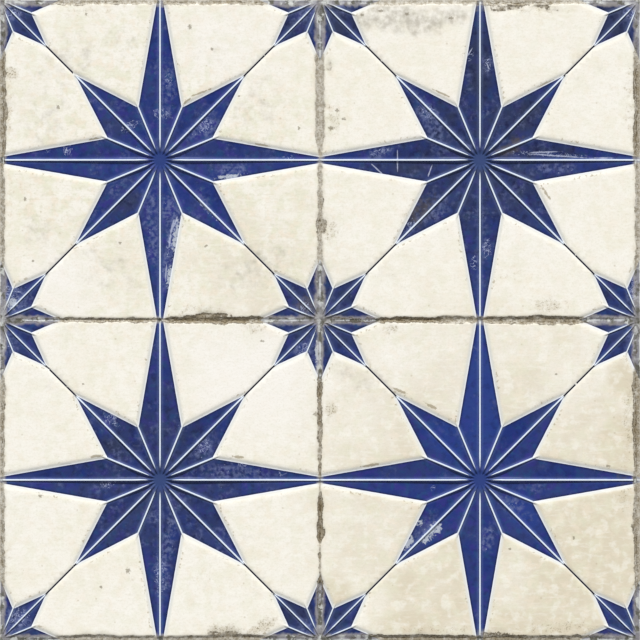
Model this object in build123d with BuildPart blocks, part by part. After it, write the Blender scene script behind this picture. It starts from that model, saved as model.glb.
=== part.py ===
from build123d import *
import os
from math import atan2, cos, degrees, radians, sin, sqrt, tan

# Pressed and glazed floor tile. Its face is four square panels parted by false joints. Each panel
# has an eight-pointed star of sunken facets between thin ridges, a quarter of a smaller star in
# each corner, and a fine groove that links the two. Millimetres, +Z up, back of the tile on Z = 0.

# Whole tile
TILE_SIDE = 450.0
TILE_THICKNESS = 10.0
PANELS_PER_SIDE = 2
BACK_CHAMFER = 0.8

# Star in the middle of a panel: radii to its valleys, tips and hub, and how far its facets sink
STAR_VALLEY = 39.3
STAR_STRAIGHT_REACH = 123.0
STAR_DIAGONAL_REACH = 83.2
STAR_HUB = 6.2
STAR_SINK = 1.4

# Smaller star on every corner of a panel
CORNER_VALLEY = 23.2
CORNER_STRAIGHT_REACH = 42.2
CORNER_DIAGONAL_REACH = 45.1
CORNER_HUB = 5.0
CORNER_SINK = 0.5

# Border of the stars: the ground slopes down to a narrow ledge
SLOPE_WIDTH = 3.0
SLOPE_DROP = 0.85
LEDGE_WIDTH = 0.8

# Ridges between the sunken facets, rising from the hub to a crest just under the ground
RIDGE_CREST = 0.8
RIDGE_DRAFT = 18.0
RIDGE_RISE_RUN = 3.0
CREST_DROP = 0.12

# Groove that links the diagonal tips, running a little way into both stars
LINK_WIDTH = 2.0
LINK_DEPTH = 0.5
LINK_DRAFT = 50.0
LINK_RUN_IN = 3.0

# False joints between the panels, and the sloping rim of the tile, as deep as they are
JOINT_WIDTH = 4.4
JOINT_FLOOR = 1.6
JOINT_DEPTH = 1.5
RIM_WIDTH = 3.0

# Waffle key pressed into the back for the bedding mortar
KEY_PITCH = 42.0
KEY_RIB = 8.0
KEY_DEPTH = 0.7
KEY_MARGIN = 12.0
KEY_DRAFT = 30.0

panel_pitch = TILE_SIDE / PANELS_PER_SIDE
panel_half_diagonal = panel_pitch / sqrt(2)
ridge_count = 16
ridge_step = 360 / ridge_count

face_plane = Plane.XY.offset(TILE_THICKNESS)
ledge_plane = face_plane.offset(-SLOPE_DROP)
crest_plane = face_plane.offset(-CREST_DROP)


def star_outline(valley, straight_reach, diagonal_reach):
    """Corners of a star with tips on the axes and the diagonals and valleys midway between them."""
    tips = [straight_reach, diagonal_reach] * (ridge_count // 4)
    corners = []
    for index, tip in enumerate(tips):
        for turn, radius in ((2 * index, tip), (2 * index + 1, valley)):
            angle = radians(ridge_step * turn)
            corners.append((radius * cos(angle), radius * sin(angle)))
    return corners


def ridge_bar(hub, hub_plane, reach):
    """One ridge along +X, rising from the hub of its star and running past the star's longest tip."""
    foot = hub_plane.origin.Z
    height = crest_plane.origin.Z - foot
    foot_width = RIDGE_CREST + 2 * height * tan(radians(RIDGE_DRAFT))
    rise_plane = Plane(origin=(hub, 0, foot), z_dir=(-height, 0, RIDGE_RISE_RUN))
    with BuildPart() as ridge:
        with BuildSketch(Plane.YZ.offset(hub)):
            with Locations((0, foot)):
                Trapezoid(foot_width, height, 90 - RIDGE_DRAFT, align=(Align.CENTER, Align.MIN))
        extrude(amount=reach - hub)
        split(bisect_by=rise_plane, keep=Keep.BOTTOM)
    return ridge.part


def star_die(valley, straight_reach, diagonal_reach, hub, sink):
    """Die that presses one star: its sloping border, its ledge and the facets that sink to the hub."""
    outline = star_outline(valley, straight_reach, diagonal_reach)
    border = LEDGE_WIDTH + SLOPE_WIDTH
    hub_plane = ledge_plane.offset(-sink)
    ridge = ridge_bar(hub, hub_plane, max(straight_reach, diagonal_reach) + border)
    with BuildPart() as die:
        for plane, grow in ((ledge_plane, LEDGE_WIDTH), (face_plane, border)):
            with BuildSketch(plane):
                with BuildLine():
                    Polyline(*outline, close=True)
                make_face()
                offset(amount=grow, kind=Kind.ARC)
        loft(ruled=True)
        for start, end in zip(outline, outline[1:] + outline[:1]):
            wedge = [ledge_plane.origin, hub_plane.origin]
            for x, y in (start, end):
                wedge.append((x, y, ledge_plane.origin.Z))
                wedge.append((x * hub / valley, y * hub / valley, hub_plane.origin.Z))
            ConvexPolyhedron(wedge)
        with PolarLocations(0, ridge_count):
            add(ridge, mode=Mode.SUBTRACT)
    return die.part


star = star_die(STAR_VALLEY, STAR_STRAIGHT_REACH, STAR_DIAGONAL_REACH, STAR_HUB, STAR_SINK)
corner_star = star_die(
    CORNER_VALLEY, CORNER_STRAIGHT_REACH, CORNER_DIAGONAL_REACH, CORNER_HUB, CORNER_SINK
)

# Die of one linking groove, along +X from the star's diagonal tip to the corner star's
link_start = STAR_DIAGONAL_REACH - LINK_RUN_IN
link_end = panel_half_diagonal - CORNER_DIAGONAL_REACH + LINK_RUN_IN
with BuildPart() as link:
    with BuildSketch(face_plane):
        with Locations((link_start, 0)):
            Rectangle(link_end - link_start, LINK_WIDTH, align=(Align.MIN, Align.CENTER))
    extrude(amount=-LINK_DEPTH, taper=LINK_DRAFT)

# Die of a whole panel, ending at the floor of the joints round it
with BuildPart() as panel:
    add(star)
    with GridLocations(panel_pitch, panel_pitch, 2, 2):
        add(corner_star)
    with PolarLocations(0, 4, start_angle=45):
        add(link.part)
    with BuildSketch():
        Rectangle(panel_pitch - JOINT_FLOOR, panel_pitch - JOINT_FLOOR)
    extrude(amount=TILE_THICKNESS, mode=Mode.INTERSECT)

# The tile: a flat slab with a sloping rim, the pressed panels, the joints and the keyed back
rim_slope = degrees(atan2(RIM_WIDTH, JOINT_DEPTH))
key_cell = KEY_PITCH - KEY_RIB
keys_per_side = int((TILE_SIDE - 2 * KEY_MARGIN + KEY_RIB) // KEY_PITCH)
with BuildPart() as floor_tile:
    with BuildSketch():
        Rectangle(TILE_SIDE, TILE_SIDE)
    extrude(amount=TILE_THICKNESS - JOINT_DEPTH)
    extrude(floor_tile.faces().sort_by(Axis.Z)[-1], amount=JOINT_DEPTH, taper=rim_slope)
    chamfer(floor_tile.faces().sort_by(Axis.Z)[0].edges(), BACK_CHAMFER)
    with GridLocations(panel_pitch, panel_pitch, PANELS_PER_SIDE, PANELS_PER_SIDE):
        add(panel.part, mode=Mode.SUBTRACT)
    for profile_plane in (Plane.XZ, Plane.YZ):
        with BuildSketch(profile_plane):
            with GridLocations(panel_pitch, 1, PANELS_PER_SIDE - 1, 1):
                with BuildLine():
                    Polyline(
                        (-JOINT_FLOOR / 2, TILE_THICKNESS - JOINT_DEPTH),
                        (JOINT_FLOOR / 2, TILE_THICKNESS - JOINT_DEPTH),
                        (JOINT_WIDTH / 2, TILE_THICKNESS),
                        (-JOINT_WIDTH / 2, TILE_THICKNESS),
                        close=True,
                    )
                make_face()
        extrude(amount=TILE_SIDE / 2, both=True, mode=Mode.SUBTRACT)
    with BuildSketch():
        with GridLocations(KEY_PITCH, KEY_PITCH, keys_per_side, keys_per_side):
            Rectangle(key_cell, key_cell)
    extrude(amount=KEY_DEPTH, taper=KEY_DRAFT, mode=Mode.SUBTRACT)

floor_tile.part.label = "floor_tile"
os.makedirs("parts", exist_ok=True)
export_step(floor_tile.part, "parts/floor_tile.step")
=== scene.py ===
from math import cos, hypot, pi, radians, sin, sqrt

import bmesh
import bpy
import numpy as np
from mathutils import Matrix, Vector, noise


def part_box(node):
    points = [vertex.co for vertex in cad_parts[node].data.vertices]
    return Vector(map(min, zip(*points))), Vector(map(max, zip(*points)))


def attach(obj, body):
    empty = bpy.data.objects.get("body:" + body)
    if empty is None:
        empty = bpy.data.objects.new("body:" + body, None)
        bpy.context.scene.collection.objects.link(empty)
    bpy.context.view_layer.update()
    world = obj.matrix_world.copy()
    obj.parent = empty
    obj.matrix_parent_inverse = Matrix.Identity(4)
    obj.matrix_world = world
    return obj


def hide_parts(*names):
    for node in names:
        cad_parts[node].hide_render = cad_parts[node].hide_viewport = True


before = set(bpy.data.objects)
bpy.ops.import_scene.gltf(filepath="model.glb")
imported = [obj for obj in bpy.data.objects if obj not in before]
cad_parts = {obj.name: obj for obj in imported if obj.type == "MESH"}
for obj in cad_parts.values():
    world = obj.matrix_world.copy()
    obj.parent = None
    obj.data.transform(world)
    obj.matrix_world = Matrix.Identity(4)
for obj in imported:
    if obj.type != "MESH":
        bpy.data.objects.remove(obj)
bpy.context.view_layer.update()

# A worn floor tile: four panels of blue stars of sunken facets on a cream ground, parted by dirty
# false joints. The glazed face is pressed from one quarter of a panel, which is mirrored and repeated.

MM = 0.001
tile_low, tile_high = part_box("floor_tile")
TILE_SIDE = tile_high[0] - tile_low[0]
THICKNESS = tile_high[2] - tile_low[2]
PANEL = TILE_SIDE / 2
HALF_PANEL = PANEL / 2

# The photograph is square and the tile fills it
PHOTO_SIDE = 640
PIXEL = TILE_SIDE / PHOTO_SIDE

# Stars: radii to the valleys and tips of the blue facets and of the plain hub, and the facets' fall
PANEL_STAR = {"valley": 39.3 * MM, "straight": 123.0 * MM, "diagonal": 83.2 * MM, "hub": 6.2 * MM,
              "sink": 1.4 * MM}
CORNER_STAR = {"valley": 23.2 * MM, "straight": 42.2 * MM, "diagonal": 45.1 * MM, "hub": 5.0 * MM,
               "sink": 0.5 * MM}
VALLEY_ANGLE = radians(22.5)

# Ridges run out to a point at the hub: distance from the hub's edge, and how much narrower they are
TAPER_PLACES = (-1.5 * MM, 0.0, 8.0 * MM)
TAPERS = (2.4 * MM, 0.5 * MM, 0.0)

# Relief: distance outside the facets' edge or from a ridge's middle, and depth below the ground
BEVEL_PLACES = (0.0, 0.8 * MM, 2.2 * MM, 3.3 * MM, 4.6 * MM)
BEVEL_DEPTHS = (0.85 * MM, 0.85 * MM, 0.32 * MM, 0.08 * MM, 0.0)
RIDGE_PLACES = (0.0, 0.4 * MM, 0.8 * MM, 1.3 * MM, 2.2 * MM)
RIDGE_DEPTHS = (0.08 * MM, 0.15 * MM, 1.0 * MM, 1.7 * MM, 2.4 * MM)

# Groove that links two diagonal tips: distance from its middle, and depth
LINK_PLACES = (0.0, 0.5 * MM, 1.2 * MM)
LINK_DEPTHS = (0.5 * MM, 0.4 * MM, 0.0)
LINK_RUN_IN = 3.0 * MM

# Joints and rim: distance inside the broken edge, and depth below the ground
JOINT_PLACES = (-1.6 * MM, -0.4 * MM, 0.3 * MM, 1.0 * MM)
JOINT_DEPTHS = (1.5 * MM, 0.85 * MM, 0.12 * MM, 0.0)

# Rows scored beside a joint, from its middle, and the band where cells are halved and edges break
JOINT_ROWS = (0.8 * MM, 1.6 * MM, 2.4 * MM, 3.4 * MM, 4.6 * MM)
JOINT_BAND = 6.0 * MM

# Mesh of the face
CELLS = 30
CELL = HALF_PANEL / CELLS
TINY = 0.02 * MM
CUT_TOLERANCE = TINY / 100

# Back
BACK_CHAMFER = 0.8 * MM
KEY_PITCH = 42.0 * MM
KEY_RIB = 8.0 * MM
KEY_WALL = 0.4 * MM
KEY_DEPTH = 0.7 * MM
KEY_CELL = KEY_PITCH - KEY_RIB
KEYS_PER_SIDE = 10


def tile_spot(px, py):
    """Spot on the tile, in metres, of a pixel of the photograph."""
    return (px - PHOTO_SIDE / 2) * PIXEL, (PHOTO_SIDE / 2 - py) * PIXEL


# Distances that lay out the pattern

def star_distances(x, y, star):
    """Distance outside a star's outline, from its nearest ridge, and depth of its facets."""
    low, high = np.minimum(x, y), np.maximum(x, y)
    valley_x = star["valley"] * sin(VALLEY_ANGLE)
    valley_y = star["valley"] * cos(VALLEY_ANGLE)
    tip = star["diagonal"] / sqrt(2)
    straight_run = (star["straight"] - valley_y, valley_x)
    diagonal_run = (valley_y - tip, tip - valley_x)
    edges, shares = [], []
    for run_x, run_y in (straight_run, diagonal_run):
        away = (low * run_x + high * run_y) / hypot(run_x, run_y)
        reach = (valley_x * run_x + valley_y * run_y) / hypot(run_x, run_y)
        edges.append(away - reach)
        shares.append(away / reach)
    run_x, run_y = diagonal_run
    beyond_tip = (low - tip) * run_y - (high - tip) * run_x > 0
    edges[1] = np.where(beyond_tip, np.hypot(low - tip, high - tip), edges[1])
    share = np.clip(np.minimum(*shares), star["hub"] / star["valley"], 1)
    floor = BEVEL_DEPTHS[0] + star["sink"] * (1 - share) / (1 - star["hub"] / star["valley"])
    ridge = np.minimum(low, (high - low) / sqrt(2))
    ridge = np.minimum(ridge, np.abs(low * cos(VALLEY_ANGLE) - high * sin(VALLEY_ANGLE)))
    ridge = ridge + np.interp(np.hypot(x, y) - star["hub"], TAPER_PLACES, TAPERS)
    return np.minimum(*edges), ridge, floor


def pattern_distances(x, y):
    """Distances from the stars' edge, ridges and links, and the facets' depth, in a panel's quarter."""
    edge, ridge, floor = star_distances(x, y, PANEL_STAR)
    corner_edge, corner_ridge, corner_floor = star_distances(HALF_PANEL - x, HALF_PANEL - y, CORNER_STAR)
    ridge = np.where(corner_edge < edge, corner_ridge, ridge)
    floor = np.where(corner_edge < edge, corner_floor, floor)
    reach = (x + y) / sqrt(2)
    start = PANEL_STAR["diagonal"] - LINK_RUN_IN
    end = HALF_PANEL * sqrt(2) - CORNER_STAR["diagonal"] + LINK_RUN_IN
    link = np.maximum(np.abs(x - y) / sqrt(2), np.maximum(start - reach, reach - end))
    return np.minimum(edge, corner_edge), ridge, link, floor


def relief_depth(edge, ridge, link, floor):
    """Depth of the pressed face below the ground."""
    border = np.interp(edge, BEVEL_PLACES, BEVEL_DEPTHS)
    crest = np.interp(ridge, RIDGE_PLACES, RIDGE_DEPTHS)
    star = np.minimum(np.where(edge > 0, border, floor), crest)
    return np.maximum(star, np.interp(link, LINK_PLACES, LINK_DEPTHS))


# Lines of the relief, as start and end points in a panel's quarter

def offset_lines(start, end, offsets):
    """Copies of a line, each moved sideways by an offset, to the right of its run."""
    run = (end - start).normalized()
    side = Vector((run.y, -run.x))
    return [(start + side * offset, end + side * offset) for offset in offsets]


def both_sides(offsets):
    """Offsets on both sides of a line's middle."""
    return [-offset for offset in offsets[1:]] + list(offsets)


def star_lines(star):
    """Lines of a quarter star seen from its middle: outlines, bevels and ridges."""
    outlines = [-offset for offset in BEVEL_PLACES]
    valley = Vector((sin(VALLEY_ANGLE), cos(VALLEY_ANGLE)))
    tip = Vector((1, 1)) * (star["diagonal"] / sqrt(2))
    corner = valley * star["valley"]
    top = Vector((0, star["straight"]))
    ridges = both_sides(RIDGE_PLACES)
    half = offset_lines(top, corner, outlines) + offset_lines(corner, tip, outlines)
    half += offset_lines(Vector((0, star["hub"])), top, RIDGE_PLACES[1:])
    half += offset_lines(valley * star["hub"], valley * (star["valley"] + BEVEL_PLACES[-1]), ridges)
    flipped = [(start.yx, end.yx) for start, end in half]
    return half + flipped + offset_lines(tip.normalized() * star["hub"], tip, ridges)


def link_lines():
    """Lines of the groove that links a panel's star to the star on its corner."""
    start = Vector((1, 1)) * (PANEL_STAR["diagonal"] - LINK_RUN_IN) / sqrt(2)
    end = Vector((1, 1)) * (HALF_PANEL - (CORNER_STAR["diagonal"] - LINK_RUN_IN) / sqrt(2))
    return offset_lines(start, end, both_sides(LINK_PLACES))


def joint_lines():
    """Rows beside the joint and closer cells along it, for its broken edges."""
    lines = []
    for row in JOINT_ROWS:
        lines.append((Vector((HALF_PANEL - row, 0)), Vector((HALF_PANEL - row, HALF_PANEL))))
    for cell in range(CELLS):
        along = (cell + 0.5) * CELL
        lines.append((Vector((HALF_PANEL, along)), Vector((HALF_PANEL - JOINT_BAND, along))))
    return lines + [(start.yx, end.yx) for start, end in lines]


# Shaping

def deselect():
    bpy.ops.object.select_all(action="DESELECT")


def score(mesh, start, end):
    """Cut the faces that lie along a line, and no others."""
    edit = bmesh.from_edit_mesh(mesh)
    run = end - start
    for face in edit.faces:
        spot = face.calc_center_median().xy - start
        share = min(max(spot.dot(run) / run.length_squared, 0), 1)
        face.select_set((spot - run * share).length < CELL)
    bmesh.update_edit_mesh(mesh)
    bpy.ops.mesh.bisect(
        plane_co=(*start, 0), plane_no=(run.y, -run.x, 0), threshold=CUT_TOLERANCE, use_fill=False
    )


def panel_quarter():
    """One quarter of a panel, scored along every line of the relief and pressed to its depth."""
    deselect()
    bpy.ops.mesh.primitive_grid_add(
        x_subdivisions=CELLS, y_subdivisions=CELLS, size=HALF_PANEL,
        location=(HALF_PANEL / 2, HALF_PANEL / 2, THICKNESS),
    )
    quarter = bpy.context.object
    bpy.ops.object.transform_apply(location=True)
    bpy.ops.object.mode_set(mode="EDIT")
    bpy.ops.mesh.select_mode(type="FACE")
    far_corner = Vector((HALF_PANEL, HALF_PANEL))
    lines = star_lines(PANEL_STAR) + link_lines() + joint_lines()
    lines += [(far_corner - start, far_corner - end) for start, end in star_lines(CORNER_STAR)]
    for start, end in lines:
        score(quarter.data, start, end)
    bpy.ops.mesh.select_all(action="SELECT")
    bpy.ops.mesh.dissolve_degenerate(threshold=TINY)
    bpy.ops.object.mode_set(mode="OBJECT")
    spots = vertex_places(quarter)
    spots[:, 2] = THICKNESS - relief_depth(*pattern_distances(spots[:, 0], spots[:, 1]))
    set_vertex_places(quarter, spots)
    return quarter


def vertex_places(piece):
    """Places of a mesh's corners, one row each."""
    spots = np.empty(len(piece.data.vertices) * 3)
    piece.data.vertices.foreach_get("co", spots)
    return spots.reshape(-1, 3)


def set_vertex_places(piece, spots):
    piece.data.vertices.foreach_set("co", spots.ravel())
    piece.data.update()


def apply_modifier(piece, kind, **settings):
    modifier = piece.modifiers.new(kind.title(), kind)
    for name, value in settings.items():
        setattr(modifier, name, value)
    bpy.ops.object.modifier_apply(modifier=modifier.name)


def whole_face(quarter):
    """Mirror the quarter into a panel and repeat the panel two by two."""
    apply_modifier(quarter, "MIRROR", use_axis=(True, True, False), merge_threshold=TINY)
    bpy.ops.object.mode_set(mode="EDIT")
    bpy.ops.mesh.select_all(action="SELECT")
    bpy.ops.transform.translate(value=(-HALF_PANEL, -HALF_PANEL, 0))
    bpy.ops.object.mode_set(mode="OBJECT")
    for step in ((PANEL, 0, 0), (0, PANEL, 0)):
        apply_modifier(
            quarter, "ARRAY", count=2, use_relative_offset=False, use_constant_offset=True,
            constant_offset_displace=step, use_merge_vertices=True, merge_threshold=TINY,
        )
    quarter.name = "star_tile"
    return quarter


# Joints and rim, one list for each: pixel along it, half the joint's width or the whole of the rim's
# in millimetres, and how dark its dirt is
UPRIGHT_JOINT = (
    (0, 2.2, 0.15), (50, 2.4, 0.20), (60, 2.9, 0.45), (90, 3.0, 0.30), (128, 3.2, 0.45),
    (150, 2.2, 0.35), (158, 0.8, 0.30), (168, 1.3, 0.35), (212, 1.5, 0.50), (226, 2.2, 0.70),
    (240, 1.5, 0.45), (262, 1.7, 0.25), (300, 2.4, 0.15), (318, 2.4, 0.40), (334, 1.2, 0.10),
    (368, 1.1, 0.20), (378, 1.4, 0.90), (400, 1.2, 0.75), (430, 1.3, 0.75), (452, 0.8, 0.55),
    (470, 0.9, 0.75), (480, 0.3, 0.40), (494, 0.4, 0.50), (499, 1.4, 0.95), (538, 1.7, 0.95),
    (545, 0.4, 0.60), (574, 0.4, 0.60), (580, 1.5, 0.95), (600, 1.7, 0.75), (618, 1.6, 0.30),
    (640, 2.0, 0.35),
)
LEVEL_JOINT = (
    (0, 1.9, 0.30), (20, 1.6, 0.55), (55, 1.5, 0.65), (70, 1.3, 0.65), (120, 1.3, 0.75),
    (155, 1.2, 0.60), (172, 1.6, 0.85), (205, 2.2, 0.90), (240, 2.0, 0.90), (262, 1.8, 0.65),
    (300, 1.8, 0.30), (320, 2.2, 0.45), (345, 1.2, 0.75), (372, 1.4, 0.80), (400, 1.8, 0.95),
    (436, 1.6, 0.90), (446, 2.3, 0.55), (474, 2.1, 0.50), (486, 1.6, 0.70), (520, 2.5, 0.65),
    (548, 2.8, 0.75), (578, 2.3, 0.70), (592, 1.9, 0.40), (615, 2.3, 0.20), (640, 2.5, 0.35),
)
NORTH_RIM = (
    (0, 3.4, 0.25), (55, 3.2, 0.50), (120, 3.0, 0.60), (140, 2.4, 0.35), (165, 3.0, 0.55),
    (240, 2.8, 0.60), (262, 3.6, 0.60), (275, 3.0, 0.30), (320, 3.8, 0.25), (370, 3.2, 0.35),
    (470, 2.8, 0.40), (500, 3.6, 0.65), (550, 3.2, 0.65), (575, 2.6, 0.30), (640, 3.2, 0.30),
)
SOUTH_RIM = (
    (0, 3.0, 0.30), (50, 2.2, 0.45), (80, 3.4, 0.50), (160, 2.6, 0.45), (205, 3.0, 0.50),
    (230, 3.8, 0.65), (285, 3.2, 0.50), (320, 2.6, 0.35), (372, 3.4, 0.70), (420, 3.6, 0.75),
    (470, 3.0, 0.75), (508, 3.9, 0.85), (530, 2.8, 0.60), (590, 3.2, 0.60), (615, 2.6, 0.30),
    (640, 3.0, 0.30),
)
WEST_RIM = (
    (0, 3.4, 0.25), (48, 2.8, 0.60), (60, 3.4, 0.75), (90, 4.0, 0.70), (150, 3.6, 0.75),
    (168, 2.8, 0.55), (262, 3.2, 0.50), (275, 2.8, 0.25), (320, 3.4, 0.30), (370, 2.4, 0.45),
    (392, 3.6, 0.55), (440, 3.2, 0.65), (480, 2.6, 0.45), (530, 3.0, 0.60), (590, 2.8, 0.55),
    (610, 2.2, 0.25), (640, 2.8, 0.25),
)
EAST_RIM = (
    (0, 3.2, 0.30), (55, 3.4, 0.50), (75, 4.4, 0.80), (110, 3.8, 0.75), (155, 4.4, 0.70),
    (170, 3.2, 0.45), (250, 3.4, 0.50), (270, 3.8, 0.30), (320, 3.4, 0.30), (368, 3.8, 0.60),
    (385, 5.0, 0.75), (440, 4.8, 0.80), (470, 3.6, 0.60), (520, 4.6, 0.65), (560, 3.8, 0.70),
    (600, 3.4, 0.40), (640, 3.2, 0.35),
)
# Chips broken out beside the joints and the rim: pixel of the middle, half length, half width, turn
CHIPS = (
    (329, 66, 5, 2, 90), (324, 229, 6, 2, 80), (322, 534, 5, 2, 80), (205, 316, 22, 2, 3),
    (6, 110, 2, 8, 0), (4, 145, 2, 6, 0), (507, 8, 12, 2, 5), (543, 7, 10, 2, -8),
    (225, 633, 12, 2, 0), (634, 90, 2, 9, 0), (633, 388, 3, 8, 0), (633, 425, 3, 10, 0),
    (633, 527, 3, 7, 0), (496, 634, 14, 2, 0), (4, 402, 2, 8, 0),
)
CHIP_DEPTH = 0.2 * MM
BREAK_SIZE = 9.0 * MM
CRUMB_SIZE = 2.6 * MM
BREAK_REACH = 0.9 * MM
CRUMB_REACH = 0.7 * MM
CRUMB_PLACE = Vector((7, 3, 1))


def patch_reach(spots, px, py, length, width, turn):
    """Distance of each spot from the middle of a patch, as a share of the way to its edge."""
    middle_x, middle_y = tile_spot(px, py)
    x, y = spots[:, 0] - middle_x, spots[:, 1] - middle_y
    along = x * cos(radians(turn)) + y * sin(radians(turn))
    across = y * cos(radians(turn)) - x * sin(radians(turn))
    return np.hypot(along / (length * PIXEL), across / (width * PIXEL))


def joint_course(course, pixels):
    """Width and darkness of a joint or of the rim at each pixel along it."""
    stations, widths, darks = zip(*course)
    return np.interp(pixels, stations, widths) * MM, np.interp(pixels, stations, darks)


def broken_edges(spots):
    """Distance inside the broken edge of the nearest joint or rim, and how dark its dirt is."""
    x, y = spots[:, 0], spots[:, 1]
    down, right = PHOTO_SIDE / 2 - y / PIXEL, PHOTO_SIDE / 2 + x / PIXEL
    half = TILE_SIDE / 2
    courses = (
        (np.abs(x), UPRIGHT_JOINT, down), (np.abs(y), LEVEL_JOINT, right),
        (half - y, NORTH_RIM, right), (half + y, SOUTH_RIM, right),
        (half + x, WEST_RIM, down), (half - x, EAST_RIM, down),
    )
    gap = np.full(len(x), TILE_SIDE)
    dark = np.zeros(len(x))
    for distance, course, pixels in courses:
        width, shade_here = joint_course(course, pixels)
        nearer = distance - width < gap
        gap = np.where(nearer, distance - width, gap)
        dark = np.where(nearer, shade_here, dark)
    for px, py, length, width, turn in CHIPS:
        reach = (patch_reach(spots, px, py, length, width, turn) - 1) * width * PIXEL
        gap = np.minimum(gap, np.maximum(reach, -CHIP_DEPTH))
    for index in np.nonzero(gap < JOINT_BAND)[0]:
        spot = Vector(spots[index])
        gap[index] += BREAK_REACH * noise.noise(spot / BREAK_SIZE)
        gap[index] += CRUMB_REACH * noise.noise(spot / CRUMB_SIZE + CRUMB_PLACE)
    return gap, dark


# Uneven pressing of the face, as the size of its swells and how far they rise
SWELLS = ((38 * MM, 0.10 * MM), (13 * MM, 0.05 * MM), (6 * MM, 0.025 * MM))


def wear_face(face):
    """Break the edges of the joints and the rim, and leave the face a little uneven."""
    spots = vertex_places(face)
    gap, _ = broken_edges(spots)
    depth = THICKNESS - spots[:, 2]
    depth = np.maximum(depth, np.interp(gap, JOINT_PLACES, JOINT_DEPTHS))
    for index, (x, y, _) in enumerate(spots):
        for size, rise in SWELLS:
            depth[index] += rise * (0.5 + 0.5 * noise.noise(Vector((x / size, y / size, rise))))
    spots[:, 2] = THICKNESS - depth
    set_vertex_places(face, spots)


def add_body(face):
    """Draw the sides down from the rim and close the back."""
    bpy.ops.object.mode_set(mode="EDIT")
    bpy.ops.mesh.select_mode(type="EDGE")
    bpy.ops.mesh.select_all(action="DESELECT")
    bpy.ops.mesh.select_non_manifold()
    for height, shrink in ((BACK_CHAMFER, 1), (0, 1 - 2 * BACK_CHAMFER / TILE_SIDE)):
        bpy.ops.mesh.extrude_region_move()
        bpy.ops.transform.resize(value=(shrink, shrink, 0), center_override=(0, 0, height))
    bpy.ops.mesh.edge_face_add()
    bpy.ops.mesh.select_mode(type="FACE")
    key_lines = []
    for key in range(KEYS_PER_SIDE):
        middle = (key - (KEYS_PER_SIDE - 1) / 2) * KEY_PITCH
        key_lines += [middle - KEY_CELL / 2, middle + KEY_CELL / 2]
    for line in key_lines:
        for normal in ((1, 0, 0), (0, 1, 0)):
            select_back(face.data, lambda spot: True)
            bpy.ops.mesh.bisect(
                plane_co=(line, line, 0), plane_no=normal, threshold=CUT_TOLERANCE, use_fill=False
            )
    select_back(face.data, in_key)
    bpy.ops.mesh.inset(thickness=KEY_WALL, depth=-KEY_DEPTH, use_individual=True)
    bpy.ops.mesh.select_all(action="SELECT")
    bpy.ops.mesh.normals_make_consistent(inside=False)
    bpy.ops.object.mode_set(mode="OBJECT")


def in_key(spot):
    """Whether a spot of the back lies in one of the square keys, and not on a rib."""
    def along(value):
        run = value / KEY_PITCH + KEYS_PER_SIDE / 2
        return 0 < run < KEYS_PER_SIDE and abs(run % 1 - 0.5) < KEY_CELL / KEY_PITCH / 2
    return along(spot.x) and along(spot.y)


def select_back(mesh, wanted):
    """Select the faces that lie flat on the back, where the spot is wanted."""
    edit = bmesh.from_edit_mesh(mesh)
    for face in edit.faces:
        spot = face.calc_center_median()
        face.select_set(spot.z < TINY and wanted(spot))
    bmesh.update_edit_mesh(mesh)


# Wear that fades out from its middle: pixel, half length and half width in pixels, turn, strength
HAZED_BLUE = (
    (119, 104, 14, 9, -40, 0.5), (168, 81, 7, 10, 0, 0.7), (160, 112, 14, 8, 0, 0.5),
    (231, 171, 20, 9, -8, 0.9), (205, 125, 13, 9, 45, 0.6), (204, 200, 12, 9, -45, 0.6),
    (169, 208, 18, 8, 85, 1.0), (151, 206, 18, 6, 90, 0.7), (116, 190, 14, 8, 35, 0.7),
    (173, 230, 24, 5, 80, 1.5), (166, 268, 24, 4, 86, 1.2),
    (170, 262, 36, 6, 82, 0.7), (487, 64, 16, 8, 90, 0.6), (470, 85, 18, 7, 90, 0.5),
    (427, 113, 15, 11, -45, 0.9), (440, 132, 13, 8, -45, 0.7), (378, 153, 16, 7, 8, 0.9),
    (556, 167, 24, 7, 0, 0.6), (508, 150, 14, 6, 0, 0.5), (482, 252, 18, 9, 90, 0.6),
    (425, 205, 18, 12, 45, 0.5), (503, 122, 10, 8, 45, 0.4), (204, 445, 12, 11, 45, 0.7),
    (108, 484, 13, 7, 10, 0.7), (58, 487, 10, 5, 10, 0.5), (158, 514, 14, 9, 90, 0.6),
    (160, 572, 28, 8, 90, 0.6), (111, 420, 13, 9, -40, 0.5), (115, 510, 15, 9, 45, 0.5),
    (192, 524, 13, 9, -45, 0.4), (424, 528, 20, 8, 50, 0.7), (514, 503, 14, 10, -40, 0.8),
    (489, 538, 15, 6, 80, 1.0), (537, 489, 13, 7, 10, 0.6), (478, 356, 12, 7, 90, 0.4),
    (12, 10, 18, 13, 0, 0.8), (304, 10, 16, 13, 0, 0.8), (340, 8, 15, 10, 0, 0.6),
    (630, 12, 13, 13, 0, 0.7), (12, 297, 17, 20, 0, 0.9), (306, 306, 14, 13, 0, 0.7),
    (634, 290, 9, 20, 0, 1.0), (8, 344, 11, 18, 0, 0.6), (634, 346, 9, 16, 0, 0.7),
    (12, 628, 16, 12, 0, 0.7), (310, 630, 15, 11, 0, 0.6), (303, 351, 12, 11, 0, 1.0),
    (317, 375, 5, 15, 0, 1.0), (336, 306, 10, 9, 0, 0.4), (19, 617, 15, 13, 0, 0.7),
    (480, 160, 130, 130, 0, 0.22), (160, 160, 130, 130, 0, 0.20), (160, 480, 130, 130, 0, 0.22),
    (205, 125, 20, 13, 45, 0.8), (167, 92, 40, 10, 84, 0.7), (152, 232, 40, 8, 96, 0.8),
    (234, 472, 44, 9, -6, 0.8), (167, 550, 50, 8, 84, 0.8), (204, 446, 20, 12, 45, 0.8),
    (436, 126, 22, 12, -45, 0.8), (438, 208, 22, 12, 45, 0.6),
)
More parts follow.
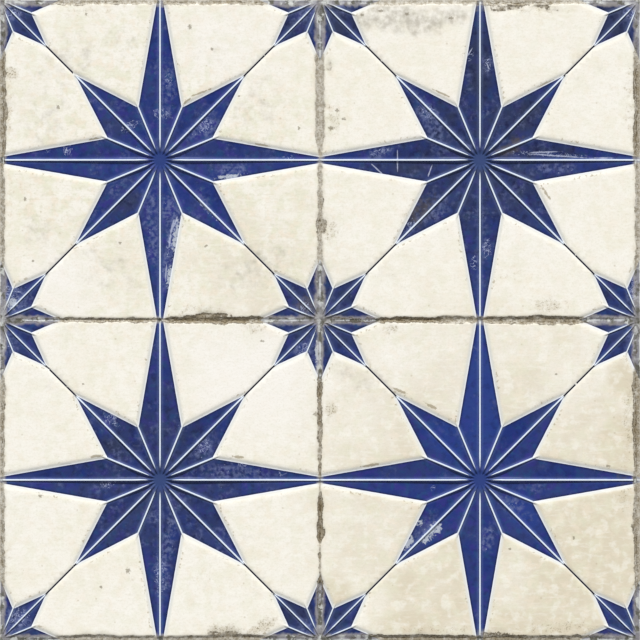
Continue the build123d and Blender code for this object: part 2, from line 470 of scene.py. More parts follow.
DULLED_BLUE = (
    (480, 160, 130, 130, 0, 0.65), (420, 212, 30, 18, 45, 1.0), (124, 207, 26, 11, 45, 0.8),
    (340, 20, 34, 26, 0, 0.9), (610, 20, 34, 30, 0, 0.9), (345, 300, 34, 26, 0, 0.7),
    (610, 300, 34, 26, 0, 0.6), (160, 480, 130, 130, 0, 0.55), (297, 616, 26, 26, 0, 0.8),
    (508, 149, 16, 6, 0, 1.0), (472, 60, 30, 8, 90, 0.8), (510, 122, 22, 10, 45, 0.7),
    (452, 122, 16, 12, -45, 0.7), (0, 0, 62, 62, 0, 0.70), (640, 640, 62, 62, 0, 0.45),
    (320, 320, 62, 62, 0, 0.65), (0, 320, 62, 62, 0, 0.55), (0, 640, 62, 62, 0, 0.55),
    (640, 320, 62, 62, 0, 0.60), (320, 640, 62, 62, 0, 0.60), (290, 20, 34, 26, 0, 0.7),
    (480, 70, 60, 18, 90, 0.9), (525, 115, 30, 20, 45, 0.9), (406, 167, 50, 8, 0, 0.9),
    (115, 128, 24, 10, -45, 0.5), (114, 448, 22, 11, -45, 0.9), (552, 150, 40, 6, -6, 0.9),
)
MOTTLED_GROUND = (
    (160, 160, 180, 180, 0, 1.0), (480, 480, 180, 180, 0, 0.70), (480, 160, 170, 170, 0, 0.25),
    (160, 480, 170, 170, 0, 0.30), (40, 200, 30, 60, 0, 1.0), (280, 250, 40, 50, 0, 1.0),
)
WARM_GROUND = (
    (480, 480, 175, 175, 0, 0.72), (590, 560, 80, 90, 0, 1.0), (440, 590, 70, 60, 0, 0.75),
    (600, 430, 40, 60, 0, 0.70), (260, 260, 80, 80, 0, 0.50), (70, 250, 70, 70, 0, 0.20),
    (614, 436, 26, 22, 60, 1.2), (612, 528, 22, 26, 0, 1.3), (560, 600, 46, 20, 0, 1.1),
    (336, 600, 18, 40, 0, 0.90), (20, 90, 24, 40, 0, 0.40), (540, 626, 76, 15, 0, 1.7),
    (410, 624, 40, 14, 0, 1.2), (622, 474, 16, 36, 0, 1.7), (622, 380, 18, 28, 0, 1.0),
    (140, 260, 34, 56, 0, 0.40),
)
PALED_GROUND = (
    (250, 385, 80, 60, 0, 0.9), (430, 390, 110, 60, 0, 0.4), (560, 400, 50, 50, 0, 0.4),
    (480, 160, 130, 130, 0, 0.5), (60, 280, 40, 36, 0, 0.9), (230, 50, 80, 50, 0, 0.6),
)
GREYED_GROUND = (
    (385, 16, 34, 13, 0, 1.2), (420, 22, 34, 14, 5, 1.1), (456, 16, 15, 10, 0, 0.9),
    (364, 25, 12, 9, 0, 0.7), (70, 60, 40, 26, 40, 0.45), (48, 120, 28, 40, 0, 0.40),
    (110, 268, 40, 28, -20, 0.40), (255, 268, 40, 26, 30, 0.55), (255, 105, 34, 36, 0, 0.40),
    (120, 40, 26, 18, 0, 0.40), (216, 56, 24, 20, 0, 0.30), (40, 230, 24, 26, 0, 0.45),
    (356, 374, 34, 15, -20, 0.50), (545, 405, 30, 20, 0, 0.35), (395, 275, 36, 20, 0, 0.25),
    (250, 560, 36, 40, 0, 0.22), (60, 385, 34, 26, 0, 0.20), (590, 60, 30, 34, 0, 0.15),
)
SOILED = (
    (11, 73, 9, 7, 0, 1.0), (509, 275, 20, 9, 0, 0.35), (508, 150, 14, 6, 12, 1.1),
    (420, 210, 24, 14, 45, 0.7), (307, 305, 12, 11, 0, 1.0), (516, 141, 10, 6, 30, 0.8),
    (204, 578, 14, 5, 0, 0.45), (12, 190, 10, 40, 0, 0.30), (6, 560, 8, 36, 0, 0.40),
    (333, 120, 8, 18, 0, 0.70), (224, 631, 20, 7, 0, 1.0), (262, 627, 18, 7, 25, 1.0),
    (90, 10, 36, 5, 0, 0.45), (535, 10, 36, 5, 0, 0.60), (330, 231, 9, 13, 0, 0.75),
    (331, 410, 8, 8, 0, 0.90), (548, 306, 22, 9, 0, 0.70), (200, 312, 34, 7, 0, 0.60),
    (630, 100, 8, 40, 0, 0.50), (629, 420, 9, 45, 0, 0.65), (7, 110, 8, 40, 0, 0.55),
    (392, 330, 10, 7, 0, 0.7), (254, 329, 10, 6, 0, 0.7), (440, 630, 60, 6, 0, 0.55),
    (560, 628, 50, 9, 0, 0.60), (624, 488, 9, 30, 0, 0.60),
)

# Brighter cobalt and small marks: pixel, half length and half width in pixels, turn
BRIGHT_BLUE = ((480, 402, 90, 30, 90), (446, 438, 34, 22, -45), (524, 513, 34, 20, -45))
SCUFFS = (
    (130, 126, 14, 8, 32), (67, 149, 7, 9, 0), (48, 151, 4, 3, 0), (289, 159, 11, 5, 0),
    (229, 177, 16, 4, 6), (209, 211, 24, 4, -45), (173, 236, 30, 6, 76), (169, 281, 14, 5, 84),
    (168, 80, 7, 10, 0), (162, 114, 14, 9, 0), (205, 126, 12, 8, 45), (428, 112, 15, 10, -45),
    (379, 152, 16, 4, 10), (545, 154, 60, 4, -3), (487, 64, 10, 7, 90), (470, 56, 9, 5, 70),
    (487, 248, 15, 7, 90), (474, 262, 11, 6, 90), (412, 225, 9, 7, 45), (634, 290, 8, 18, 0),
    (108, 484, 13, 6, 8), (204, 446, 10, 10, 45), (160, 575, 32, 8, 90), (242, 464, 8, 4, 0),
    (282, 473, 8, 4, 20), (111, 420, 13, 8, -40), (303, 350, 13, 8, 35), (19, 616, 16, 14, 0),
    (317, 374, 5, 16, 0), (433, 488, 4, 4, 0),
    (12, 296, 18, 18, 0), (14, 12, 14, 8, 30), (306, 306, 10, 10, 0), (632, 14, 9, 10, 0),
)
BARE_PATCHES = (
    (436, 528, 10, 8, -20), (428, 537, 13, 6, 45), (409, 543, 11, 5, 60), (419.5, 523, 5, 4, 60),
    (317, 352, 15, 3, 90), (318, 372, 9, 2.5, 90), (12, 304, 9, 7, 0), (229, 176.5, 19, 3, 6),
    (176.5, 236, 26, 5, 82), (169.5, 277, 17, 4, 86),
)
SCRATCHES = (
    (397.5, 161, 17, 1.1, 90), (378, 170, 14, 1.1, -43), (430, 171, 9, 1.1, 70), (470, 52, 7, 1.0, 60),
    (560, 156, 50, 1.1, -4), (545, 152, 26, 1.0, 2), (488, 66, 6, 1.0, -70), (604, 158, 14, 1.0, 0),
    (213, 214, 17, 1.2, -45), (66, 150, 6, 1.0, 70), (172, 228, 15, 1.6, 76), (175, 223, 10, 1.3, 70),
    (170, 240, 13, 1.3, 82), (166, 272, 14, 1.2, 86), (206, 208, 9, 1.2, -45), (200, 202, 7, 1.1, -60),
)
PITS = (
    (190, 27, 3.2, 3.6, 0), (86, 14, 1.8, 2.4, 0), (212, 49, 2.4, 2.4, 0), (58, 107, 2.6, 4.0, 0),
    (25, 199, 2.2, 3.4, 0), (299, 128, 2.0, 2.6, 0), (239, 96, 2.2, 1.5, 0), (381, 11, 4.0, 2.4, 0),
    (407, 14, 3.4, 2.6, 0), (337, 110, 3.0, 3.0, 0), (344, 119, 3.6, 2.4, 0), (331, 128, 4.5, 3.0, 0),
    (40, 496, 2.8, 3.2, 0), (128, 571, 3.6, 4.2, 0), (101, 587, 2.2, 2.2, 0), (83, 384, 1.8, 1.6, 0),
    (573.6, 538, 2.4, 2.6, 0), (510, 549, 2.2, 2.2, 0), (330, 600, 2.6, 2.2, 0), (316, 414, 4.4, 3.4, 0),
    (262, 341, 3.4, 2.0, 0), (33, 261, 2.4, 1.8, 0), (120, 243, 2.4, 1.8, 0), (206, 246, 3.2, 1.6, 40),
    (556, 374, 2.4, 1.6, 0), (451, 18, 3.6, 2.4, 0), (362, 15, 3.0, 2.2, 0), (608, 466, 3.0, 2.0, 0),
)
# Brown lines along the lip of the slopes that face away from the sun: partly cracks, partly a painted
# shadow line
CRACKS_AND_SHADOW_LINES = (
    (200, 93, 18, 1.6, 20), (229, 84, 15, 1.5, 25), (187, 101, 8, 1.6, 40), (441, 93, 16, 1.6, -24),
    (548, 83, 17, 2.4, 22), (546, 193, 12, 2.2, -58), (96, 456, 11, 2.2, 8), (238, 457, 10, 2.2, -6),
    (431, 406, 11, 2.4, -26), (400, 391, 12, 2.2, -24), (60, 150, 14, 2.0, 8), (540, 143, 16, 2.2, -10),
    (94, 139, 10, 2.0, 8), (420, 140, 12, 2.0, 10), (262, 145, 12, 2.0, -10), (372, 465, 14, 2.2, 8),
)


def worn_share(spots, patches):
    """How strongly any of the patches shows at each spot, fading out from the middle of each."""
    share = np.zeros(len(spots))
    for *patch, strength in patches:
        share = np.maximum(share, strength * np.clip(1.4 - patch_reach(spots, *patch), 0, 1))
    return share


def record_measures(piece):
    """Keep on the mesh the distances, in millimetres, and the wear that the glaze is painted by."""
    spots = vertex_places(piece)
    quarter = np.abs(np.abs(spots[:, :2]) - HALF_PANEL)
    edge, ridge, link, _ = pattern_distances(quarter[:, 0], quarter[:, 1])
    gap, dark = broken_edges(spots)
    measures = {
        "star_edge": edge / MM, "ridge_gap": ridge / MM, "link_gap": link / MM,
        "joint_gap": gap / MM, "joint_dark": dark,
        "hazed": worn_share(spots, HAZED_BLUE), "dulled": worn_share(spots, DULLED_BLUE),
        "mottled": worn_share(spots, MOTTLED_GROUND), "warm": worn_share(spots, WARM_GROUND),
        "greyed": worn_share(spots, GREYED_GROUND), "paled": worn_share(spots, PALED_GROUND),
        "soiled": worn_share(spots, SOILED),
    }
    for name, values in measures.items():
        piece.data.attributes.new(name, "FLOAT", "POINT").data.foreach_set("value", values)


# Finishes

def shade(red, green, blue):
    """Colour for a node from screen values of 0 to 255."""
    linear = []
    for value in (red / 255, green / 255, blue / 255):
        linear.append(value / 12.92 if value <= 0.04045 else ((value + 0.055) / 1.055) ** 2.4)
    return (*linear, 1)


# Noises read the tile's coordinates from one of a few places off the tile, so that they differ
NOISE_PLACES = ((0.9, 1.3, 0.0), (1.7, -0.8, 0.0), (-1.2, 0.7, 0.0), (-0.8, -1.6, 0.0))
DRAWN_OUT = 5.0
BUMP_DEPTH = 0.2 * MM


class Finish:
    """One material, with short ways to add the nodes of its colour."""

    def __init__(self, name, noise_dimensions="2D"):
        self.noise_dimensions = noise_dimensions
        self.material = bpy.data.materials.new(name)
        self.material.use_nodes = True
        self.nodes = self.material.node_tree.nodes
        self.links = self.material.node_tree.links
        self.shader = self.nodes["Principled BSDF"]
        self.spot = self.nodes.new("ShaderNodeTexCoord").outputs["Object"]
        self.turns = {}
        self.frames = {}

    def feed(self, socket, value):
        """Give a socket a link or a plain value."""
        if isinstance(value, bpy.types.NodeSocket):
            self.links.new(value, socket)
        else:
            socket.default_value = value

    def math(self, operation, first, second=0.0):
        node = self.nodes.new("ShaderNodeMath")
        node.operation = operation
        self.feed(node.inputs[0], first)
        self.feed(node.inputs[1], second)
        return node.outputs[0]

    def step(self, value, low, high):
        """0 at low and 1 at high, smooth between them."""
        node = self.nodes.new("ShaderNodeMapRange")
        node.interpolation_type = "SMOOTHSTEP"
        self.feed(node.inputs["Value"], value)
        node.inputs["From Min"].default_value = low
        node.inputs["From Max"].default_value = high
        return node.outputs["Result"]

    def times(self, *shares):
        """Product of all the shares."""
        product = shares[0]
        for share in shares[1:]:
            product = self.math("MULTIPLY", product, share)
        return product

    def measure(self, name):
        """One of the measures kept on the mesh."""
        node = self.nodes.new("ShaderNodeAttribute")
        node.attribute_name = name
        return node.outputs["Fac"]

    def turned(self, turn):
        """The tile's coordinates seen along a direction."""
        if turn not in self.turns:
            node = self.nodes.new("ShaderNodeVectorRotate")
            node.rotation_type = "Z_AXIS"
            node.inputs["Angle"].default_value = radians(-turn)
            self.links.new(self.spot, node.inputs["Vector"])
            self.turns[turn] = node.outputs["Vector"]
        return self.turns[turn]

    def frame(self, place, stretch):
        """The tile's coordinates, moved to a place off the tile and drawn out along X."""
        if (place, stretch) not in self.frames:
            node = self.nodes.new("ShaderNodeVectorMath")
            node.operation = "MULTIPLY_ADD"
            self.links.new(self.spot, node.inputs[0])
            node.inputs[1].default_value = (1 / stretch, 1, 1)
            node.inputs[2].default_value = NOISE_PLACES[place]
            self.frames[place, stretch] = node.outputs[0]
        return self.frames[place, stretch]

    def cloud(self, size, detail=4.0, place=0, stretch=1.0):
        """Soft noise whose lumps are about the given size, around 0.5."""
        node = self.nodes.new("ShaderNodeTexNoise")
        node.noise_dimensions = self.noise_dimensions
        self.links.new(self.frame(place, stretch), node.inputs["Vector"])
        node.inputs["Scale"].default_value = 1 / size
        node.inputs["Detail"].default_value = detail
        node.inputs["Roughness"].default_value = 0.55
        return node.outputs["Fac"]

    def patchy(self, size, low, high, detail=4.0, place=0, stretch=1.0):
        """Clouds with clear ground between them: 0 where the noise is low and 1 where it is high."""
        return self.step(self.cloud(size, detail, place, stretch), low, high)

    def jitter(self, value, size, reach, place=0):
        """The value moved up and down by noise."""
        lump = self.math("SUBTRACT", self.cloud(size, 4.0, place), 0.5)
        return self.math("ADD", value, self.math("MULTIPLY", lump, 2 * reach))

    def worn(self, name, size, reach, low, high, place):
        """Share of one kind of wear kept on the mesh, its fading edge broken up by noise."""
        return self.step(self.jitter(self.measure(name), size, reach, place), low, high)

    def specks(self, spacing, radius, rarity):
        """Small specks, one in some of the cells of a given spacing."""
        node = self.nodes.new("ShaderNodeTexVoronoi")
        node.voronoi_dimensions = "2D"
        self.links.new(self.spot, node.inputs["Vector"])
        node.inputs["Scale"].default_value = 1 / spacing
        split = self.nodes.new("ShaderNodeSeparateColor")
        self.links.new(node.outputs["Color"], split.inputs[0])
        size = self.math("MULTIPLY", split.outputs[1], radius / spacing)
        inside = self.step(self.math("SUBTRACT", node.outputs["Distance"], size), 0.03, -0.03)
        return self.times(inside, self.step(split.outputs[0], rarity, rarity + 0.02))

    def marks(self, patches):
        """1 in the middle of any of the patches and 0 from its edge on."""
        reach = 1.0
        for px, py, length, width, turn in patches:
            x, y = tile_spot(px, py)
            along = x * cos(radians(turn)) + y * sin(radians(turn))
            across = y * cos(radians(turn)) - x * sin(radians(turn))
            half_length, half_width = length * PIXEL, width * PIXEL
            seen = self.nodes.new("ShaderNodeVectorMath")
            seen.operation = "MULTIPLY_ADD"
            self.links.new(self.turned(turn), seen.inputs[0])
            seen.inputs[1].default_value = (1 / half_length, 1 / half_width, 0)
            seen.inputs[2].default_value = (-along / half_length, -across / half_width, 0)
            away = self.nodes.new("ShaderNodeVectorMath")
            away.operation = "LENGTH"
            self.links.new(seen.outputs["Vector"], away.inputs[0])
            reach = self.math("MINIMUM", reach, away.outputs["Value"])
        return self.math("SUBTRACT", 1.0, reach)

    def ragged(self, patches, size, reach, place=0):
        """Share of the patches, their edges broken up by noise and nothing outside them."""
        inside = self.marks(patches)
        broken = self.step(self.jitter(inside, size, reach, place), 0.25, 0.55)
        return self.times(broken, self.step(inside, 0.0, 0.15))

    def coat(self, under, over, *shares):
        """One colour laid over another, as thick as the product of the shares."""
        node = self.nodes.new("ShaderNodeMix")
        node.data_type = "RGBA"
        self.feed(node.inputs["Factor"], self.times(*shares))
        self.feed(node.inputs["A"], under)
        self.feed(node.inputs["B"], over)
        return node.outputs["Result"]

    def roughen(self, height, strength):
        """Fine unevenness that only the light shows."""
        bump = self.nodes.new("ShaderNodeBump")
        bump.inputs["Strength"].default_value = strength
        bump.inputs["Distance"].default_value = BUMP_DEPTH
        self.feed(bump.inputs["Height"], height)
        self.feed(self.shader.inputs["Normal"], bump.outputs["Normal"])


# Colours of the ground and of its wear
CREAM = shade(249, 245, 235)
DEEP_CREAM = shade(247, 242, 229)
COOL_CREAM = shade(251, 247, 242)
WARM_STAIN = shade(221, 210, 185)
GREEN_CAST = shade(232, 231, 205)
ROSY_CAST = shade(244, 231, 211)
LIME_WHITE = shade(252, 250, 240)
PALE_STROKE = shade(254, 251, 242)
DARK_STROKE = shade(224, 215, 196)
BLOT = shade(218, 217, 194)
SAND_GRAIN = shade(218, 212, 194)
GREY_STAIN = shade(188, 182, 168)
SOIL = shade(194, 182, 152)
SOIL_CRUMB = shade(124, 111, 84)
PIT = shade(128, 118, 98)
FLECK = shade(176, 158, 128)


def cream_ground(glaze):
    """Uneven cream slip: greenish and rosy clouds, short brush strokes, stains and pits."""
    mottled = glaze.math("ADD", 0.25, glaze.times(glaze.measure("mottled"), 0.75))
    colour = glaze.coat(CREAM, DEEP_CREAM, glaze.patchy(60 * MM, 0.38, 0.62))
    colour = glaze.coat(colour, WARM_STAIN, glaze.worn("warm", 30 * MM, 0.45, 0.05, 0.95, place=1), 0.90)
    green = glaze.patchy(11 * MM, 0.44, 0.64, place=2)
    colour = glaze.coat(colour, GREEN_CAST, green, mottled, 0.75)
    rosy = glaze.patchy(8 * MM, 0.50, 0.68, 3.0, place=3)
    colour = glaze.coat(colour, ROSY_CAST, rosy, mottled, 0.70)
    colour = glaze.coat(colour, LIME_WHITE, glaze.patchy(8.5 * MM, 0.50, 0.70, 3.0, place=1), 0.45)
    strokes = glaze.patchy(1.7 * MM, 0.54, 0.72, 3.0, place=2, stretch=DRAWN_OUT)
    colour = glaze.coat(colour, DARK_STROKE, strokes, mottled, 0.35)
    blots = glaze.patchy(3.6 * MM, 0.54, 0.72, 5.0)
    colour = glaze.coat(colour, BLOT, blots, mottled, 0.50)
    strokes = glaze.patchy(3.0 * MM, 0.52, 0.74, 3.0, place=3, stretch=DRAWN_OUT)
    colour = glaze.coat(colour, PALE_STROKE, strokes, 0.28)
    colour = glaze.coat(colour, COOL_CREAM, glaze.worn("paled", 20 * MM, 0.30, 0.0, 1.0, place=1), 0.60)
    colour = glaze.coat(colour, SAND_GRAIN, glaze.patchy(1.4 * MM, 0.50, 0.74, 3.0), 0.25)
    greyed = glaze.worn("greyed", 8 * MM, 0.60, 0.20, 0.95, place=2)
    patches = glaze.patchy(5.6 * MM, 0.24, 0.72, 5.0, place=1)
    colour = glaze.coat(colour, GREY_STAIN, greyed, patches, 0.80)
    soiled = glaze.worn("soiled", 4 * MM, 0.70, 0.25, 1.05, place=3)
    colour = glaze.coat(colour, SOIL, soiled, 0.45)
    crumbs = glaze.patchy(1.2 * MM, 0.53, 0.64, place=2)
    colour = glaze.coat(colour, SOIL_CRUMB, soiled, crumbs, 0.75)
    colour = glaze.coat(colour, PIT, glaze.ragged(PITS, 1.1 * MM, 0.75), 0.65)
    return glaze.coat(colour, FLECK, glaze.specks(13 * MM, 0.75 * MM, 0.84), 0.35)


BEVEL_SLIP = shade(228, 228, 221)
# Brown of the cracks and of the painted shadow line along the bevels' lip
LIP_CRACK_AND_SHADE = shade(154, 141, 112)
LIP_CHIP = shade(176, 164, 138)


def white_bevel(glaze, colour, edge):
    """White slip on the slope down to the stars, with brown lines along its upper lip that are partly
    cracks and partly a painted shadow line.
    """
    colour = glaze.coat(colour, BEVEL_SLIP, glaze.step(edge, 3.5, 1.5))
    # Cracks, and a painted shadow line along the lip of the slopes that face away from the sun
    colour = glaze.coat(colour, LIP_CRACK_AND_SHADE, glaze.ragged(CRACKS_AND_SHADOW_LINES, 2.2 * MM, 0.60, place=1), 0.70)
    lip = glaze.times(glaze.step(edge, 1.8, 2.6), glaze.step(edge, 4.6, 3.4))
    chips = glaze.patchy(2.4 * MM, 0.56, 0.64, place=3)
    stretches = glaze.patchy(26 * MM, 0.48, 0.60, 2.0, place=1)
    return glaze.coat(colour, LIP_CHIP, chips, stretches, lip, 0.70)


# Colours of the blue glaze and of its wear
COBALT = shade(33, 52, 121)
GREY_COBALT = shade(48, 62, 117)
BRIGHT_COBALT = shade(42, 68, 144)
VIOLET = shade(54, 52, 131)
TEAL = shade(37, 72, 121)
DULL_BLUE = shade(46, 53, 76)
DEEP_BLUE = shade(22, 28, 66)
BORDER_BLUE = shade(24, 32, 70)
# Paler blue of the ridges' flanks: partly thinner glaze, partly a painted sheen
RIDGE_GLAZE_AND_SHEEN = shade(146, 166, 214)
VEIL = shade(108, 118, 160)
DUST = shade(160, 169, 204)
SOILED_BLUE = shade(94, 88, 84)
SCUFF = shade(176, 186, 218)
BARE_BODY = shade(194, 201, 210)
SCRATCH = shade(190, 197, 220)


def blue_facets(glaze, ridge, edge):
    """Cobalt glaze, dark along its borders, paler beside the ridges as thin glaze and a painted sheen,
    hazed, speckled, scratched and worn through.
    """
    colour = glaze.coat(COBALT, GREY_COBALT, glaze.patchy(24 * MM, 0.34, 0.66, place=1))
    colour = glaze.coat(colour, VIOLET, glaze.patchy(9 * MM, 0.48, 0.70), 0.75)
    colour = glaze.coat(colour, TEAL, glaze.patchy(7 * MM, 0.50, 0.72, place=2), 0.70)
    colour = glaze.coat(colour, BRIGHT_COBALT, glaze.step(glaze.marks(BRIGHT_BLUE), 0.0, 0.6), 0.55)
    dulled = glaze.worn("dulled", 9 * MM, 0.45, 0.10, 1.05, place=3)
    colour = glaze.coat(colour, DULL_BLUE, dulled, 0.85)
    deep = glaze.times(glaze.math("ADD", 0.7, dulled), 0.45)
    colour = glaze.coat(colour, DEEP_BLUE, glaze.patchy(5 * MM, 0.48, 0.72, 5.0, place=3), deep)
    colour = glaze.coat(colour, BORDER_BLUE, glaze.step(edge, -1.6, -0.1), 0.70)
    # Paler blue beside the ridges: partly thinner glaze on their flanks, partly a painted sheen of the
    # flanks that face the sun
    colour = glaze.coat(colour, RIDGE_GLAZE_AND_SHEEN, glaze.step(ridge, 3.0, 0.7), 0.16)
    drift = glaze.times(glaze.patchy(15 * MM, 0.48, 0.70, 3.0, place=2), 0.35)
    haze = glaze.math("ADD", glaze.measure("hazed"), drift)
    veil = glaze.step(glaze.jitter(haze, 5 * MM, 0.45, place=1), 0.15, 1.0)
    colour = glaze.coat(colour, VEIL, veil, glaze.patchy(2.9 * MM, 0.36, 0.68, 5.0, place=3), 0.75)
    dusty = glaze.step(glaze.jitter(haze, 6 * MM, 0.5), 0.30, 1.05)
    colour = glaze.coat(colour, DUST, glaze.specks(2.3 * MM, 0.42 * MM, 0.74), dusty, 0.65)
    soiled = glaze.worn("soiled", 4 * MM, 0.70, 0.25, 1.05, place=3)
    colour = glaze.coat(colour, SOILED_BLUE, soiled, 0.60)
    curls = glaze.math("ABSOLUTE", glaze.math("SUBTRACT", glaze.cloud(4.0 * MM, 2.0), 0.5))
    grains = glaze.patchy(1.1 * MM, 0.60, 0.70, place=1)
    rubbed = glaze.math("MAXIMUM", glaze.step(curls, 0.024, 0.008), grains)
    colour = glaze.coat(colour, SCUFF, glaze.ragged(SCUFFS, 3 * MM, 0.50, place=2), rubbed, 0.80)
    bare = glaze.ragged(BARE_PATCHES, 2.4 * MM, 0.80, place=3)
    colour = glaze.coat(colour, BARE_BODY, bare, glaze.patchy(2.0 * MM, 0.30, 0.46, place=2), 0.80)
    return glaze.coat(colour, SCRATCH, glaze.ragged(SCRATCHES, 3.4 * MM, 0.40, place=1), 0.65)


LINK_LIP = shade(238, 239, 236)
LINK_BROWN = shade(28, 24, 30)
LINK_BLUE = shade(24, 26, 54)


def link_groove(glaze, colour, link):
    """Dark glaze in the fine groove between two stars, broken here and there."""
    colour = glaze.coat(colour, LINK_LIP, glaze.step(link, 1.4, 0.8), 0.5)
    groove = glaze.coat(LINK_BROWN, LINK_BLUE, glaze.cloud(9.5 * MM, 3.0, place=1))
    whole = glaze.patchy(6.3 * MM, 0.27, 0.34, 3.0)
    return glaze.coat(colour, groove, glaze.step(link, 0.74, 0.42), whole)


# Colours of the dirt in the joints
DIRT_HALO = shade(216, 208, 190)
PALE_DIRT = shade(205, 200, 188)
GREY_DIRT = shade(172, 164, 147)
BROWN_DIRT = shade(136, 122, 94)
DIRT_CRUMB = shade(92, 79, 56)
DIRT_LINE = shade(82, 69, 47)
DARK_FLAKE = shade(58, 62, 56)
PALE_FLAKE = shade(206, 210, 208)

# Dark lines along a joint: place across its ragged edge and reach, in millimetres
DIRT_LINES = ((0.15, 0.55), (-1.5, 0.50))


def joint_dirt(glaze, colour, gap, edge):
    """Pale grey-beige dirt in the joints and along the rim, browner and crumbly here and there."""
    ragged = glaze.jitter(glaze.jitter(gap, 4.4 * MM, 0.9, place=1), 1.25 * MM, 0.6, place=3)
    halo = glaze.step(glaze.jitter(gap, 5.5 * MM, 1.8, place=2), 2.6, 0.0)
    colour = glaze.coat(colour, DIRT_HALO, halo, 0.40)
    dark = glaze.measure("joint_dark")
    dirt = glaze.coat(PALE_DIRT, GREY_DIRT, glaze.patchy(2.7 * MM, 0.36, 0.64))
    browned = glaze.step(glaze.jitter(dark, 6 * MM, 0.55, place=3), 0.40, 1.05)
    dirt = glaze.coat(dirt, BROWN_DIRT, browned, 0.80)
    dirt = glaze.coat(dirt, DIRT_CRUMB, glaze.patchy(1.15 * MM, 0.52, 0.64, place=2), dark, 0.80)
    on_blue = glaze.step(edge, 0.4, 0.0)
    flakes = glaze.coat(DARK_FLAKE, PALE_FLAKE, glaze.patchy(6.1 * MM, 0.48, 0.60, 5.0, place=3))
    dirt = glaze.coat(dirt, flakes, on_blue, 0.80)
    bare = glaze.times(on_blue, glaze.patchy(7.7 * MM, 0.60, 0.44, 5.0, place=2))
    filled = glaze.math("SUBTRACT", 1.0, glaze.times(bare, 0.75))
    colour = glaze.coat(colour, dirt, glaze.step(ragged, 0.7, -0.5), filled)
    broken = glaze.step(glaze.jitter(dark, 5.2 * MM, 0.75), 0.40, 0.85)
    for middle, reach in DIRT_LINES:
        line = glaze.math("ABSOLUTE", glaze.math("SUBTRACT", ragged, middle))
        colour = glaze.coat(colour, DIRT_LINE, glaze.step(line, reach, 0.12), broken, 0.80)
    return colour


# Middles of the stars and of the corner stars, as marks
HUBS = [(px, py, 15, 15, 0) for px in (160, 480) for py in (160, 480)]
CORNERS = [(px, py, 70, 70, 0) for px in (0, 320, 640) for py in (0, 320, 640)]

STAR_LIP = shade(240, 243, 250)
RIDGE_CREST = shade(230, 241, 253)
HUB_BLUE = shade(46, 66, 128)
DULL_HUB = shade(64, 82, 120)
LOW_SPECULAR = 0.15


def star_glaze():
    """Glazed face: cream ground, white bevels and ridges, blue facets, dirty joints."""
    glaze = Finish("star_glaze")
    edge = glaze.jitter(glaze.measure("star_edge"), 3.1 * MM, 0.10, place=2)
    ridge = glaze.jitter(glaze.measure("ridge_gap"), 3.3 * MM, 0.08, place=3)
    gap = glaze.measure("joint_gap")
    colour = white_bevel(glaze, cream_ground(glaze), edge)
    colour = glaze.coat(colour, STAR_LIP, glaze.step(edge, 1.1, 0.7))
    colour = link_groove(glaze, colour, glaze.measure("link_gap"))
    nearness = glaze.marks(HUBS)
    hub_blue = glaze.coat(HUB_BLUE, DULL_HUB, glaze.measure("dulled"))
    facets = blue_facets(glaze, ridge, edge)
    facets = glaze.coat(facets, hub_blue, glaze.step(nearness, 0.28, 0.48), 0.85)
    inside = glaze.step(edge, 0.42, 0.14)
    colour = glaze.coat(colour, facets, inside)
    tapered = glaze.math("ADD", ridge, glaze.times(glaze.step(nearness, 0.0, 0.42), 0.30))
    finer = glaze.times(glaze.step(glaze.marks(CORNERS), 0.0, 0.1), 0.14)
    crest = glaze.step(glaze.math("ADD", tapered, finer), 0.66, 0.42)
    colour = glaze.coat(colour, RIDGE_CREST, crest, inside)
    colour = joint_dirt(glaze, colour, gap, edge)
    glaze.feed(glaze.shader.inputs["Base Color"], colour)
    rough = glaze.math("ADD", 0.48, glaze.times(glaze.step(gap, 0.4, -0.4), 0.42))
    glaze.feed(glaze.shader.inputs["Roughness"], rough)
    glaze.shader.inputs["Specular IOR Level"].default_value = LOW_SPECULAR
    glaze.roughen(glaze.cloud(2.3 * MM, 5.0), 0.35)
    return glaze.material


BODY = shade(206, 196, 178)
DARK_BODY = shade(194, 183, 164)
BODY_DUST = shade(168, 156, 136)


def biscuit():
    """Unglazed body of the sides and the back, with mortar-grey dust."""
    body = Finish("biscuit", "3D")
    colour = body.coat(BODY, DARK_BODY, body.patchy(30 * MM, 0.35, 0.65))
    colour = body.coat(colour, BODY_DUST, body.patchy(2 * MM, 0.5, 0.75, 5.0, place=1), 0.5)
    body.feed(body.shader.inputs["Base Color"], colour)
    body.shader.inputs["Roughness"].default_value = 0.9
    body.shader.inputs["Specular IOR Level"].default_value = LOW_SPECULAR
    body.roughen(body.cloud(1.2 * MM, 5.0, place=2), 0.4)
    return body.material


LEAST_RISE = 0.1
SMOOTH_ANGLE = radians(38)


def glaze_tile(piece):
    """Glaze on every slope of the face and bare body everywhere else."""
    piece.data.materials.append(star_glaze())
    piece.data.materials.append(biscuit())
    for face in piece.data.polygons:
        glazed = face.normal.z > LEAST_RISE and face.center.z > THICKNESS / 2
        face.material_index = 0 if glazed else 1


# Flat map of the whole surface: the face large, the four sides in strips above it, the back small
MAP_FACE = 0.84
MAP_SIDE_ROWS = (0.86, 0.89, 0.92, 0.95)
MAP_SIDE_HEIGHT = 0.02
MAP_BACK = (0.86, 0.02, 0.12)


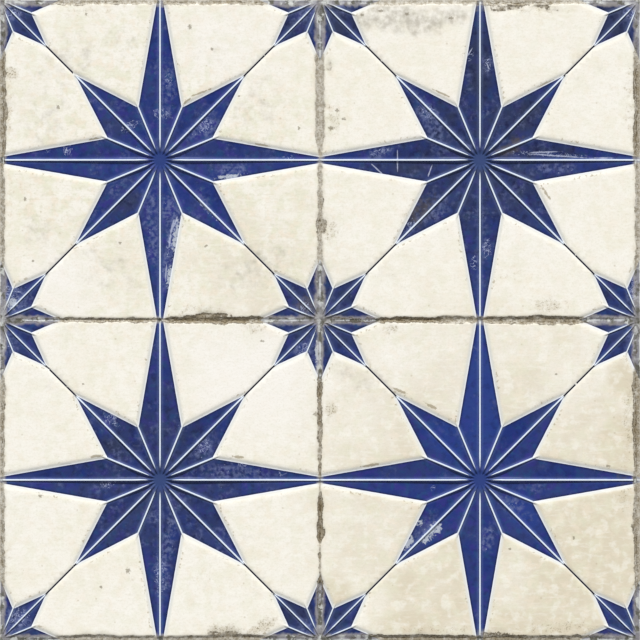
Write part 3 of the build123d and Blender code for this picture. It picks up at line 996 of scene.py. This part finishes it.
def lay_flat(piece):
    """Unfold the tile into the map that a picture of its finish can be painted by."""
    layer = piece.data.uv_layers.new(name="OFBake")
    for face in piece.data.polygons:
        middle = face.center
        outwards = (middle.x, -middle.x, middle.y, -middle.y)
        side = max(range(4), key=lambda way: outwards[way])
        on_side = outwards[side] > TILE_SIDE / 2 - BACK_CHAMFER
        for corner in face.loop_indices:
            x, y, z = piece.data.vertices[piece.data.loops[corner].vertex_index].co
            across, up = x / TILE_SIDE + 0.5, y / TILE_SIDE + 0.5
            if face.material_index == 0:
                spot = across * MAP_FACE, up * MAP_FACE
            elif on_side:
                along = up if side < 2 else across
                spot = along * MAP_FACE, MAP_SIDE_ROWS[side] + z / THICKNESS * MAP_SIDE_HEIGHT
            else:
                left, low, span = MAP_BACK
                spot = left + across * span, low + up * span
            layer.data[corner].uv = spot


tile = whole_face(panel_quarter())
wear_face(tile)
add_body(tile)
record_measures(tile)
glaze_tile(tile)
lay_flat(tile)
deselect()
tile.select_set(True)
bpy.ops.object.shade_smooth_by_angle(angle=SMOOTH_ANGLE)
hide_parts("floor_tile")
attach(tile, "root")


# Stage
FLOOR_SIDE = 6.0
FLOOR_GAP = 0.5 * MM
PAPER = shade(226, 224, 218)
deselect()
bpy.ops.mesh.primitive_plane_add(size=FLOOR_SIDE, location=(0, 0, -FLOOR_GAP))
floor = bpy.context.object
floor.name = "pale_floor"
paper = bpy.data.materials.new("pale_paper")
paper.use_nodes = True
paper_shader = paper.node_tree.nodes["Principled BSDF"]
paper_shader.inputs["Base Color"].default_value = PAPER
paper_shader.inputs["Roughness"].default_value = 0.9
floor.data.materials.append(paper)

SUN_HEIGHT = radians(36)
SUN_SHARE = 0.68
SUN_SPREAD = radians(10)
bpy.ops.object.light_add(type="SUN", rotation=(-(pi / 2 - SUN_HEIGHT), 0, 0))
sun = bpy.context.object
sun.data.energy = SUN_SHARE * pi / sin(SUN_HEIGHT)
sun.data.angle = SUN_SPREAD
world = bpy.data.worlds.new("soft_room")
world.use_nodes = True
sky = world.node_tree.nodes["Background"]
sky.inputs["Color"].default_value = (1, 1, 1, 1)
sky.inputs["Strength"].default_value = 1 - SUN_SHARE
bpy.context.scene.world = world

CAMERA_HEIGHT = 5.0
bpy.ops.object.camera_add(location=(0, 0, CAMERA_HEIGHT + THICKNESS))
camera = bpy.context.object
camera.data.lens = camera.data.sensor_width * CAMERA_HEIGHT / TILE_SIDE
bpy.context.scene.camera = camera
bpy.context.scene.view_settings.view_transform = "Standard"
